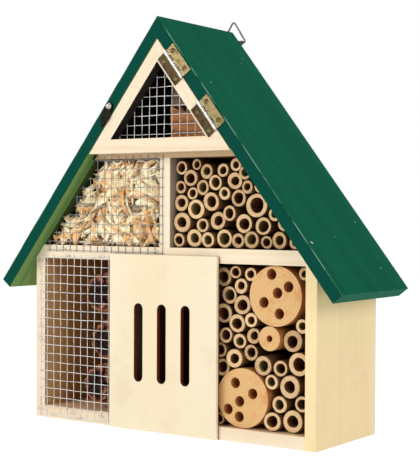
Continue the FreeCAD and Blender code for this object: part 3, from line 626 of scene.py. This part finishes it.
class HOTEL_OT_wire_mesh(bpy.types.Operator):
    """Round-wire welded mesh over the gable door, the shavings and the cones"""
    bl_idname = "hotel.wire_mesh"
    bl_label = "Wire mesh"

    def execute(self, context):
        m = looks("metal")
        # Each mesh's zinc is scaled by its own painted brightness: lighter in the dark gable and darker over the
        # pale shavings, as painted light and shade.
        pieces = (("gable_mesh", "gable_door", 1.1), ("shavings_mesh", "house", 0.36), ("cone_mesh", "house", 1.0))
        for seed, (node, body, painted_brightness) in enumerate(pieces, 30):
            zinc = metal("wire of the " + node.replace("_", " "), dim(m.zinc, painted_brightness), 0.40, (0.10, 0.09, 0.08), 0.5,
                         metallic=0.1)
            rng = np.random.default_rng(seed)
            upright, across, wood_side, open_side = mesh_wires(node)
            inset = math.copysign(m.wire_radius + m.wire_wander * 0.7, open_side - wood_side)
            points, faces = joined(wire_tubes(upright, True, wood_side + inset, m, rng)
                                   + wire_tubes(across, False, open_side - inset, m, rng))
            make_piece(node + "_wires", points, faces, zinc, body, (node,))
        return {"FINISHED"}


# ---------------------------------------------------------------- canes
def loose_parts(node):
    """Label the separate solids of a node: each point takes the least label among its triangles' points."""
    points = node_points(node)
    mesh = NODES[node].data
    corners = np.empty(len(mesh.loops), np.int32)
    mesh.loops.foreach_get("vertex_index", corners)
    _, same = np.unique(np.round(points * 1e5).astype(np.int64), axis=0, return_inverse=True)
    same = same.ravel()
    faces = same[corners.reshape(-1, 3)]
    label = np.arange(same.max() + 1)
    for _ in range(400):
        least = label[faces].min(1)
        new = label.copy()
        for k in range(3):
            np.minimum.at(new, faces[:, k], least)
        new = new[new]
        if (new == label).all():
            break
        label = new
    return points, label[same]


def measured_rounds(node):
    """Centre x and z, radius, bore radius, front and back of each cane in a group."""
    points, label = loose_parts(node)
    rows = []
    for key in np.unique(label):
        own = points[label == key]
        low, high = own.min(0), own.max(0)
        x, z = (low[0] + high[0]) / 2, (low[2] + high[2]) / 2
        reach = np.hypot(own[:, 0] - x, own[:, 2] - z)
        rows.append((x, z, (high[2] - low[2]) / 2, reach.min(), low[1], high[1]))
    return np.array(rows)


def cane_surface(rounds, oval, rng, around=30):
    """Closed surface of every cane at once.

    Its rings are circles pushed out of round by second and third harmonics of the angle. They run from the
    middle of the back over the skin, round the sawn front end and down the bore to the node that closes it.
    """
    n = len(rounds)
    x, z, outer, bore, front, back = (rounds[:, k, None, None] for k in range(6))
    wall = outer - bore
    a = (np.arange(around) * 2 * np.pi / around)[None, None, :]
    phase = rng.uniform(0, 2 * np.pi, (n, 4, 1, 1))
    outer_wave = oval * (0.7 * np.cos(2 * a + phase[:, 0]) + 0.3 * np.cos(3 * a + phase[:, 1]))
    bore_wave = oval * 3.2 * (0.6 * np.cos(2 * a + phase[:, 2]) + 0.4 * np.cos(3 * a + phase[:, 3]))
    off = rng.uniform(-0.13, 0.13, (n, 2, 1, 1)) * wall[:, None]
    knot = front + (back - front) * rng.uniform(0.25, 0.6, (n, 1, 1))
    chamfer = 0.00022
    floor_y = front + 0.045
    # rows: share of the wall from bore (0) to skin (1), or none at the axis; depth; zone (0 skin, 1 sawn, 2 bore)
    rows = [(None, back, 1), (0.5, back, 1), (1.0, back, 0.3), (1.0, back - 0.0006, 0),
            (1.0, knot + 0.0022, 0), (0.94, knot + 0.0009, 0), (1.0, knot - 0.0006, 0),
            (0.97, knot - 0.0020, 0), (1.0, knot - 0.0034, 0), (1.0, front + 0.0022, 0),
            (1.0, front + chamfer * 1.6, 0.15), (0.93, front + chamfer * 0.4, 0.6), (0.82, front, 1),
            (0.6, front - 0.00004, 1), (0.3, front + 0.00003, 1), (0.08, front + chamfer * 0.5, 1.15),
            (0.0, front + chamfer * 2.2, 1.7), (-0.02, front + 0.0022, 2), (0.0, front + 0.008, 2),
            (0.0, front + 0.022, 2), (0.02, floor_y, 2), (None, floor_y + 0.0008, 2)]
    tilt = rng.normal(0, 0.045, (n, 2, 1, 1))
    rings = []
    skin = outer * (1 - oval * 1.1 + outer_wave)
    hole = bore * (1 + bore_wave)
    for share, depth, _ in rows:
        if share is None:
            radius, cx, cz = 0 * a, x, z
        else:
            radius = hole + (skin - hole) * share
            cx, cz = x + off[:, 0] * (1 - share), z + off[:, 1] * (1 - share)
        px = cx + radius * np.cos(a)
        pz = cz + radius * np.sin(a)
        near = np.clip(1 - (depth - front) / 0.004, 0, 1)
        py = depth + near * (tilt[:, 0] * (px - x) + tilt[:, 1] * (pz - z)) + 0 * px
        rings.append(np.stack([px, py, pz], -1))
    zone = np.tile(np.repeat([kind for *_, kind in rows], around), n)
    tone = np.repeat(rng.uniform(0, 1, n), len(rows) * around)
    return *as_mesh(np.concatenate(rings, 1)), zone, tone


def cane_material():
    """Three zones by attribute: yellow-brown skin, pale fibrous cut, dark bore. Each cane has its own tone."""
    p = looks("nature")
    g = Finish("cane", 0.5, specular=0.4)
    zone, tone = g.attribute("zone"), g.attribute("tone")
    long_ways = g.stretch(g.at, (1.0, 0.05, 1.0))
    streak = g.noise(long_ways, 700.0, 3.0, 0.6)
    dots = g.noise(long_ways, 3800.0, 1.0)
    skin = g.mix(g.ramp(streak, 0.35, 0.75), p.cane_skin, dim(p.cane_skin, 0.6))
    # Painted shade: the canes' skins are darkened nearly to black behind the front of the bays.
    within = bay(g, Vector=g.at, Half=1.0)["Mask"]
    skin = g.mix(g.times(within, 0.85), skin, (0.05, 0.022, 0.008))
    cut = g.mix(g.times(g.ramp(dots, 0.5, 0.72), 0.55), p.cane_cut, dim(p.cane_cut, 0.5))
    cut = g.mix(1.0, cut, g.mix(g.ramp(streak, 0.4, 0.7), (1.0, 1.0, 1.0), (0.82, 0.76, 0.66)), "MULTIPLY")
    bore = g.mix(g.ramp(streak, 0.35, 0.7), p.cane_bore, dim(p.cane_bore, 0.45))
    to_cut = g.ramp(zone, 0.5, 0.97)
    to_bore = g.ramp(zone, 1.1, 1.75)
    base = g.mix(to_bore, g.mix(to_cut, skin, cut), bore)
    base = g.mix(1.0, base, g.mix(tone, (1.12, 1.08, 1.0), (0.78, 0.70, 0.60)), "MULTIPLY")
    olive = g.ramp(g.math("FRACT", g.times(tone, 7.3)), 0.55, 0.8)
    base = g.mix(g.times(olive, to_bore, 0.6), base, (0.20, 0.17, 0.05))
    rough = g.plus(g.times(to_cut, 0.30), 0.40)
    return g.done(base, g.plus(streak, g.times(dots, to_cut)), 0.4, 0.00012, rough)


class HOTEL_OT_canes(bpy.types.Operator):
    """Canes with sawn ends, out of round, in the places of the model's canes"""
    bl_idname = "hotel.canes"
    bl_label = "Canes"

    def execute(self, context):
        material = cane_material()
        oval = looks("nature").cane_oval
        for seed, node in enumerate(sorted(n for n in NODES if "_canes_" in n)):
            rng = np.random.default_rng(100 + seed)
            points, faces, zone, tone = cane_surface(measured_rounds(node), oval, rng)
            make_piece(node + "_grown", points, faces, material, "house", (node,),
                       {"zone": zone, "tone": tone})
        return {"FINISHED"}


# ---------------------------------------------------------------- logs and dowel
def log_material(name, node, rings):
    """End grain: rings about the log's own middle, pores, warm clouds, and darker bark and drill holes."""
    w = looks("wood")
    low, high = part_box(node)
    g = Finish(name, 0.66, specular=0.3)
    flat = g.stretch(g.moved(g.at, ((low.x + high.x) / 2, 0, (low.z + high.z) / 2)), (1.0, 0.06, 1.0))
    wave = g.rings(g.sway(flat, 60.0, 3.0, 0.006), rings, "Y", 2.2, 2.0)
    pores = g.noise(flat, 2600.0, 2.0, 0.6)
    depth = g.plus(g.times(g.math("POWER", wave, 2.0), 0.30), g.times(g.ramp(pores, 0.45, 0.75), 0.35), clamp=True)
    warm = g.times(g.ramp(g.noise(flat, 80.0, 3.0, 0.6), 0.50, 0.68), 0.60)
    base = g.mix(warm, g.mix(depth, w.log_light, w.log_dark), (0.58, 0.25, 0.075))
    side = g.math("SUBTRACT", 1.0, g.ramp(g.size(g.facing()["Y"]), 0.3, 0.7))
    return g.done(g.mix(side, base, (0.44, 0.17, 0.045)), g.plus(pores, wave), 0.35, 0.00018)


class HOTEL_OT_logs(bpy.types.Operator):
    """Finish the drilled logs and the drilled dowel"""
    bl_idname = "hotel.logs"
    bl_label = "Logs"

    def execute(self, context):
        for node, rings in (("upper_log", 110.0), ("lower_log", 130.0), ("drilled_dowel", 150.0)):
            clothe(node, log_material("log " + node.replace("_", " "), node, rings))
        return {"FINISHED"}


# ---------------------------------------------------------------- wood shavings
def push_inside(points, planes):
    """Move each curl back until no point of it is outside any plane (nx, ny, nz, offset)."""
    for nx, ny, nz, offset in planes:
        normal = np.array((nx, ny, nz))
        over = np.maximum((points @ normal).max(1) - offset, 0)
        points = points - over[:, None, None] * normal
    return points


def curl_surface(count, rng):
    """Closed thin ribbons in rings of four points, as (shaving, point, axis).

    A ribbon's middle line is an arc of changing radius that climbs a little, like a plane's shaving. Its width
    tapers in a half sine to blunt ends, and it is evenly thin.
    """
    s = np.linspace(0, 1, 11)[None, :, None]
    radius = rng.uniform(0.0045, 0.0160, (count, 1, 1)) * (1 + s * rng.uniform(-0.3, 0.9, (count, 1, 1)))
    sweep = rng.uniform(0.010, 0.026, (count, 1, 1)) / radius[:, :1]
    angle = sweep * (s - 0.5)
    width = rng.uniform(0.0022, 0.0085, (count, 1, 1)) * (0.12 + 0.88 * np.sin(np.pi * np.clip(s, 0.04, 0.96)))
    width = width * (1 + 0.15 * np.sin(9 * s + rng.uniform(0, 6, (count, 1, 1))))
    climb = rng.uniform(-0.003, 0.003, (count, 1, 1)) * s
    half = np.array([-1, 1, 1, -1])[None, None, :]
    thick = 0.00011 * np.array([-1, -1, 1, 1])[None, None, :]
    twist = rng.uniform(-0.5, 0.5, (count, 1, 1)) * (s - 0.5)
    across = width / 2 * half
    r = radius + thick + across * np.sin(twist)
    shape = np.stack([r * np.cos(angle), r * np.sin(angle), climb + across * np.cos(twist)], -1)
    shape = shape - shape.mean((1, 2), keepdims=True)
    turned = np.einsum("nij,nrcj->nrci", random_turns(rng, count), closed_ends(shape))
    return turned.reshape(count, -1, 3)


def shaving_material():
    p = looks("nature")
    g = Finish("wood shavings", 0.7, specular=0.25)
    fibre = g.noise(g.at, 900.0, 3.0, 0.6)
    base = g.mix(g.ramp(g.attribute("tone"), 0.42, 0.96), p.shaving_pale, p.shaving_tan)
    base = g.mix(g.times(g.ramp(fibre, 0.45, 0.8), 0.30), base, dim(p.shaving_tan, 0.7))
    return g.done(base, fibre, 0.4, 0.00015)


class HOTEL_OT_shavings(bpy.types.Operator):
    """Curled wood shavings heaped behind the upper left mesh"""
    bl_idname = "hotel.shavings"
    bl_label = "Shavings"

    def execute(self, context):
        count = looks("nature").shaving_count
        rng = np.random.default_rng(11)
        low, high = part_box("wood_shavings")
        outwards = (-math.sin(PITCH), 0, math.cos(PITCH))     # square to the left slope
        edge = (node_points("wood_shavings") @ np.array(outwards)).max()
        points = curl_surface(count, rng)
        place = np.stack([rng.uniform(low.x, high.x, count), low.y + 0.002 + 0.014 * rng.uniform(0, 1, count) ** 1.4,
                          low.z + (high.z - low.z) * rng.uniform(0, 1, count) ** 1.12], -1)
        outside = place @ np.array(outwards) > edge - 0.002
        place[outside, 0] = high.x - (high.x - place[outside, 0]) * 0.45
        points = points + place[:, None, :]
        planes = ((*outwards, edge - 0.0005), (1, 0, 0, high.x), (0, 0, 1, high.z),
                  (0, 0, -1, -low.z + 0.0009), (0, -1, 0, -low.y + 0.0009), (0, 1, 0, high.y))
        for _ in range(3):
            points = push_inside(points, planes)
        tone = np.repeat(rng.uniform(0, 1, count), points.shape[1])
        points, faces = as_mesh(points.reshape(count, -1, 4, 3))
        make_piece("shavings_heap", points, faces, shaving_material(), "house", ("wood_shavings",),
                   {"tone": tone})
        return {"FINISHED"}


# ---------------------------------------------------------------- pine cones
def cone_surface(radius, count, rng):
    """Open pine cone along Y, base at low Y, middle at the origin.

    Scales sit on a spindle at steps of the golden angle. Each is a closed spoon that leaves the spindle and bends
    outwards and towards the cone's tip. It swells and rounds off, and is thickest at its outer edge.
    """
    i = np.arange(count)[:, None, None]
    h = 0.03 + 0.93 * (i + 0.5) / count
    turn = i * GOLDEN_ANGLE + rng.uniform(0, 6.28)
    swell = np.sin(np.pi * (0.20 + 0.72 * h)) ** 0.8
    core = 0.30 * radius * np.sin(np.pi * (0.15 + 0.75 * h)) ** 0.8
    reach = radius * swell * rng.uniform(0.93, 1.0, (count, 1, 1)) - core
    steps, around = 7, 8
    t = np.linspace(0, 1, steps)[None, :, None]
    a = (np.arange(around) * 2 * np.pi / around)[None, None, :]
    out = core + reach * np.sin(t * np.pi / 2 * 0.98)
    rise = reach * (0.30 + 0.55 * h) * (t ** 1.6) - 0.1 * reach * np.exp(-((t - 1) / 0.18) ** 2)
    width = radius * (0.34 + 0.20 * swell) * np.sin(np.pi * (0.22 + 0.60 * t)) ** 0.7
    width = np.where(t > 0.99, width * 0.45, width)
    thick = radius * (0.030 + 0.050 * t ** 3)
    side = width / 2 * np.cos(a)
    deep = thick * np.sin(a) + 0.18 * np.abs(side) ** 2 / radius
    y = (h - 0.5) * CONE_LENGTH * 0.94 + rise + deep
    r = out - 0.25 * side ** 2 / radius
    angle = turn + side / np.maximum(out, core * 1.2)
    grid = closed_ends(np.stack([r * np.cos(angle), y, r * np.sin(angle)], -1))
    tip = np.broadcast_to(np.array([0, *np.linspace(0, 1, steps), 1])[:, None], grid.shape[:3])
    # Spindle: a closed lathe form from end to end.
    k = np.linspace(0, 1, 14)[:, None]
    turn = (np.arange(16) * 2 * np.pi / 16)[None, :]
    wide = 0.34 * radius * np.sin(np.pi * (0.02 + 0.96 * k)) ** 0.6
    wide[[0, -1]] = 0
    spindle = np.stack([wide * np.cos(turn), (k - 0.5) * CONE_LENGTH * 0.96 + 0 * turn, wide * np.sin(turn)], -1)
    points, faces = joined([as_mesh(grid), as_mesh(spindle[None])])
    tip = np.concatenate([tip.ravel(), np.zeros(spindle[..., 0].size)])
    points[:, 1] = np.clip(points[:, 1], -CONE_LENGTH / 2, CONE_LENGTH / 2)
    return points, faces, tip


def cone_material():
    p = looks("nature")
    g = Finish("cone scales", 0.7, specular=0.1)
    tip = g.attribute("tip")
    mottled = g.noise(g.at, 420.0, 4.0, 0.6)
    edge = g.times(g.ramp(tip, 0.86, 1.0), g.ramp(mottled, 0.35, 0.6))
    base = g.mix(edge, g.mix(g.ramp(tip, 0.42, 0.95), p.scale_dark, p.scale_tip), (0.85, 0.62, 0.46))
    base = g.mix(g.times(g.ramp(mottled, 0.5, 0.8), 0.5), base, (0.04, 0.012, 0.008))
    return g.done(base, mottled, 0.5, 0.0003)


class HOTEL_OT_cones(bpy.types.Operator):
    """Open pine cones in the lower left bay"""
    bl_idname = "hotel.cones"
    bl_label = "Pine cones"

    def execute(self, context):
        material = cone_material()
        tilts = (-5.0, 4.0, -3.0)
        for node in sorted(n for n in NODES if n.startswith("pine_cone_")):
            number = int(node.split("_")[-1])
            rng = np.random.default_rng(50 + number)
            low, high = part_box(node)
            middle = (low + high) / 2
            radius = (high.x - low.x) / 2
            points, faces, tip = cone_surface(radius * 0.985, looks("nature").scale_count, rng)
            tilt = math.radians(tilts[(number - 1) // 2])
            if number % 2 == 0:
                tilt, points = -tilt, points * np.array((-1, -1, 1))
            turn = np.array(Matrix.Rotation(tilt, 3, "X"))
            points = points @ turn.T + np.array(middle)
            points = np.clip(points, np.array(low) - 0.0008, np.array(high) + 0.0008)
            make_piece(node + "_scaled", points, faces, material, "house", (node,), {"tip": tip})
        return {"FINISHED"}


# ---------------------------------------------------------------- gable filling
def rough_block(node, rng, depth, stretch):
    """Closed rough block in the shape of a prism along Y.

    The section's outline is walked at even steps and carried along Y; both ends close towards their middle. Every
    point is pushed inwards by two ripples stretched along the grain.
    """
    points = node_points(node)
    low, high = points.min(0), points.max(0)
    front = points[np.abs(points[:, 1] - low[1]) < 1e-5][:, [0, 2]]
    corners = np.unique(np.round(front, 5), axis=0)
    middle = corners.mean(0)
    # The outline is the front face seen as a star about its middle.
    angle = np.arctan2(corners[:, 1] - middle[1], corners[:, 0] - middle[0])
    corners = corners[np.argsort(angle)]
    loop = np.concatenate([corners, corners[:1]])
    run = np.concatenate([[0], np.cumsum(np.hypot(*np.diff(loop, axis=0).T))])
    where = np.linspace(0, run[-1], 141)[:-1]
    outline = np.stack([np.interp(where, run, loop[:, 0]), np.interp(where, run, loop[:, 1])], -1)
    ends = np.linspace(0.02, 1, 16) ** 0.8
    body = np.linspace(low[1], high[1], 48)
    scales = np.concatenate([[0], ends, np.ones(46), ends[::-1], [0]])
    depths = np.concatenate([np.full(17, low[1]), body[1:-1], np.full(17, high[1])])
    ring = middle + (outline - middle)[None] * scales[:, None, None]
    solid = np.stack([ring[..., 0], np.broadcast_to(depths[:, None], ring.shape[:2]), ring[..., 1]], -1)
    flat, faces = as_mesh(solid[None])
    drawn = flat * np.array(stretch)
    bumps = 0.6 * ripple(drawn, 0.009, rng) + 0.4 * ripple(drawn, 0.0034, rng, 9)
    inward = np.array([middle[0], (low[1] + high[1]) / 2, middle[1]]) - flat
    size = np.linalg.norm(inward, axis=1, keepdims=True)
    push = depth * (0.55 + 0.45 * bumps)[:, None] * inward / np.maximum(size, 1e-6)
    end_cap = (np.abs(flat[:, 1] - low[1]) < 1e-6) | (np.abs(flat[:, 1] - high[1]) < 1e-6)
    straight = np.sign(inward[:, 1]) * depth * 1.6 * (0.5 + 0.5 * bumps)
    push[end_cap, 1] = straight[end_cap]
    inner = np.repeat((scales > 0)[:, None], outline.shape[0], 1).reshape(-1)
    push[~inner] = 0
    push[~inner, 1] = np.sign(inward[~inner, 1]) * depth * 0.8
    return flat + push, faces


class HOTEL_OT_gable_filling(bpy.types.Operator):
    """Rough bark and a greyed offcut behind the gable mesh"""
    bl_idname = "hotel.gable_filling"
    bl_label = "Gable filling"

    def execute(self, context):
        w = looks("wood")
        bark = wood("bark", w.bark, dim(w.bark, 0.35), rings=45.0, amount=0.7, roughness=0.85, patches=0.8,
                    relief=0.001)
        grey = wood("weathered wood", w.grey_wood, dim(w.grey_wood, 0.5), rings=60.0, amount=0.6, roughness=0.8,
                    patches=0.5, relief=0.0006)
        for node, material, slot, depth, stretch in (
                ("bark_block", bark, "bark", 0.0013, (1.0, 0.25, 1.0)),
                ("wood_offcut", grey, "weathered_wood", 0.0006, (0.3, 1.0, 1.0))):
            points, faces = rough_block(node, np.random.default_rng(len(node)), depth, stretch)
            make_piece(node + "_rough", points, faces, material, "house", (node,))
        return {"FINISHED"}


# ---------------------------------------------------------------- stage
def soft_light(name, place, aim, size, power, tint=(1, 1, 1)):
    light = bpy.data.lights.new(name, "AREA")
    light.shape = "SQUARE"
    light.size = size
    light.energy = power
    light.color = tint
    obj = new_object(name, light)
    obj.location = place
    obj.rotation_euler = (Vector(aim) - Vector(place)).to_track_quat("-Z", "Y").to_euler()


class HOTEL_OT_stage(bpy.types.Operator):
    """Pale floor, soft lights and the camera"""
    bl_idname = "hotel.stage"
    bl_label = "Stage"

    def execute(self, context):
        s = looks("stage")
        scene = context.scene
        mesh = bpy.data.meshes.new("floor")
        mesh.from_pydata([(-6, -6, 0), (6, -6, 0), (6, 6, 0), (-6, 6, 0)], [], [(0, 1, 2, 3)])
        floor = new_object("floor", mesh)
        g = Finish("pale floor", 0.9)
        for label, value in (("Base Color", s.floor), ("Emission Color", (1, 1, 1)), ("Emission Strength", 0.86)):
            g.put(value, g.shader[label])
        mesh.materials.append(g.material)
        world = bpy.data.worlds.new("studio")
        world.use_nodes = True
        g = Graph(world.node_tree)
        background = g.tree.nodes["Background"].inputs
        g.put((1, 1, 1), background["Color"])
        # The camera sees full white, and the object gets only the ambient part.
        seen = g.add("LightPath")["Is Camera Ray"]
        g.put(g.plus(g.times(seen, 1.0 - s.ambient), s.ambient), background["Strength"])
        scene.world = world
        scene.view_settings.view_transform = "Standard"
        soft_light("key light", (-0.55, -1.5, 0.95), (0, 0, 0.13), 0.7, 15.4, (1.0, 0.985, 0.96))
        soft_light("side light", (1.6, -0.7, 0.8), (0.05, 0, 0.14), 0.9, 12.3)
        soft_light("top light", (0.2, 0.2, 1.7), (0, 0, 0.1), 1.2, 8)

        turn, rise, roll = (math.radians(v) for v in (s.turn, s.rise, s.roll))
        back = Vector((math.sin(turn) * math.cos(rise), -math.cos(turn) * math.cos(rise), math.sin(rise)))
        right = Vector((math.cos(turn), math.sin(turn), 0))
        up = back.cross(right)
        right, up = right * math.cos(roll) + up * math.sin(roll), up * math.cos(roll) - right * math.sin(roll)
        lens = bpy.data.cameras.new("camera")
        lens.lens = s.focal
        lens.sensor_width = 36
        lens.shift_x = 0.0125
        lens.shift_y = 0.0129
        camera = new_object("camera", lens)
        camera.matrix_world = Matrix.Translation(Vector((0.0038, 0, 0.13632)) + back * s.distance) @ Matrix(
            (right, up, back)).transposed().to_4x4()
        scene.camera = camera
        return {"FINISHED"}


# ---------------------------------------------------------------- panel and registration
OPERATORS = (HOTEL_OT_boards, HOTEL_OT_roof, HOTEL_OT_hardware, HOTEL_OT_wire_mesh, HOTEL_OT_canes, HOTEL_OT_logs,
             HOTEL_OT_shavings, HOTEL_OT_cones, HOTEL_OT_gable_filling, HOTEL_OT_stage)
SETTINGS = {"wood": HotelWood, "nature": HotelNature, "metal": HotelMetal, "stage": HotelStage}


class HOTEL_PT_panel(bpy.types.Panel):
    """Sizes, colours and the steps that dress the hotel"""
    bl_idname = "HOTEL_PT_panel"
    bl_label = "Insect Hotel"
    bl_space_type = "VIEW_3D"
    bl_region_type = "UI"
    bl_category = "Insect Hotel"

    def draw(self, context):
        for key in SETTINGS:
            box = self.layout.box()
            for name in SETTINGS[key].__annotations__:
                box.prop(looks(key), name)
        for operator in OPERATORS:
            self.layout.operator(operator.bl_idname)


def register():
    for cls in (*SETTINGS.values(), *OPERATORS, HOTEL_PT_panel):
        bpy.utils.register_class(cls)
    for key, cls in SETTINGS.items():
        setattr(bpy.types.Scene, "hotel_" + key, PointerProperty(type=cls))


def unregister():
    for key in SETTINGS:
        delattr(bpy.types.Scene, "hotel_" + key)
    for cls in (HOTEL_PT_panel, *reversed(OPERATORS), *SETTINGS.values()):
        bpy.utils.unregister_class(cls)


def main():
    register()
    for operator in OPERATORS:
        getattr(bpy.ops.hotel, operator.bl_idname.split(".")[1])()


if __name__ == "__main__":
    main()
